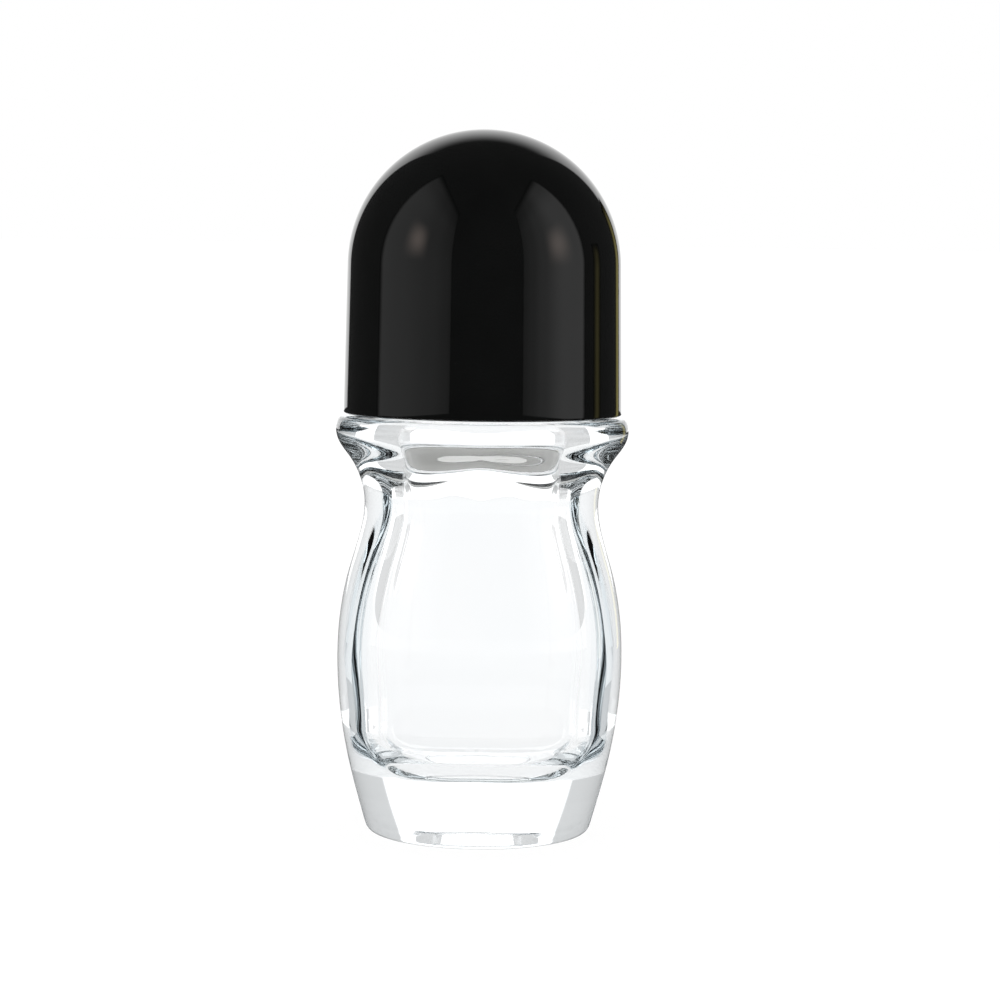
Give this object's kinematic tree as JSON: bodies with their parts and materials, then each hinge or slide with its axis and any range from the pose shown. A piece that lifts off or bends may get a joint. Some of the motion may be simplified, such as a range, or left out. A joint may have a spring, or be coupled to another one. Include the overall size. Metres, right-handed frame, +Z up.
{
  "type": "roll on bottle",
  "caption": "Thick-walled clear glass roll-on bottle with a waisted, rounded-square body, a ball applicator and a domed screw cap.",
  "frame": {"origin": "centre of the foot, on the surface that the bottle stands on", "axes": "+Z up along the bottle's axis; X and Y square to the flat sides of the body"},
  "size_m": [0.04, 0.04, 0.0962],
  "materials": {
    "clear_glass": "polished",
    "housing_plastic": "satin",
    "ball_plastic": "gloss",
    "seal_rubber": "soft",
    "inner_plastic": "satin",
    "shell_plastic": "high gloss"
  },
  "bodies": {
    "bottle": {"glass_bottle": "clear_glass", "ball_housing": "housing_plastic"},
    "ball": {"roller_ball": "ball_plastic"},
    "cap_seal": {"cap_seal_ring": "seal_rubber"},
    "cap": {"cap_shell": "shell_plastic", "cap_inner": "inner_plastic"}
  },
  "joints": [
    {"name": "ball_roll", "type": "hinge", "parent": "bottle", "child": "ball", "pos_m": [0, 0, 0.07754], "axis": [1, 0, 0], "continuous": true},
    {"name": "cap_lift", "type": "slide", "parent": "bottle", "child": "cap_seal", "axis": [0, 0, 1], "range_m": [0, 0.036]},
    {"name": "cap_turn", "type": "hinge", "parent": "cap_seal", "child": "cap", "pos_m": [0, 0, 0.07754], "axis": [0, 0, 1], "range_deg": [0, 3240]}
  ],
  "couplings": [
    {"joint": "cap_lift", "follows": "cap_turn", "m_per_rad": 0.00063662}
  ]
}
